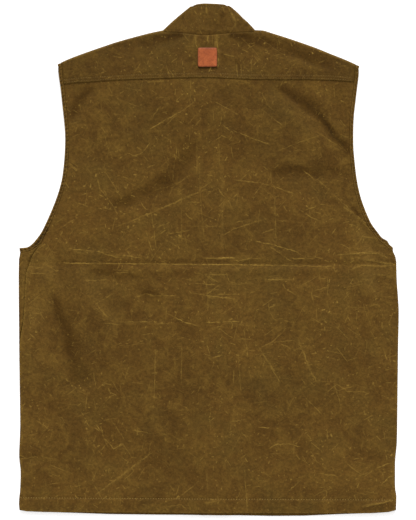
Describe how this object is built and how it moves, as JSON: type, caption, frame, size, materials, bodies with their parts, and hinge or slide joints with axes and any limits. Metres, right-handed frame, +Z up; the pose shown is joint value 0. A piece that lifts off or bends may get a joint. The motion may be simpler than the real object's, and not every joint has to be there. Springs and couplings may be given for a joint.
{
  "type": "upland vest",
  "caption": "Sleeveless upland vest of waxed canvas, laid flat with its back up, with a stand collar, shoulder yoke, bound armholes and a leather patch.",
  "frame": {"origin": "centre of the bounding box in plan, on the surface that the vest lies on", "axes": "+X to the right as the back is seen, +Y from the hem to the collar, +Z up through the back"},
  "size_m": [0.5701, 0.7685, 0.0092],
  "materials": {
    "waxed_canvas": "waxed, matt, mottled",
    "patch_leather": "smooth, slightly worn",
    "snap_metal": "antiqued"
  },
  "bodies": {
    "root": {"back_panel": "waxed_canvas", "back_yoke": "waxed_canvas", "collar": "waxed_canvas", "front_left": "waxed_canvas", "front_right": "waxed_canvas", "placket": "waxed_canvas", "armhole_binding_left": "waxed_canvas", "armhole_binding_right": "waxed_canvas", "leather_patch": "patch_leather", "snap_cap_1": "snap_metal", "snap_cap_2": "snap_metal", "snap_cap_3": "snap_metal", "snap_cap_4": "snap_metal", "snap_cap_5": "snap_metal", "snap_cap_6": "snap_metal"}
  },
  "joints": []
}
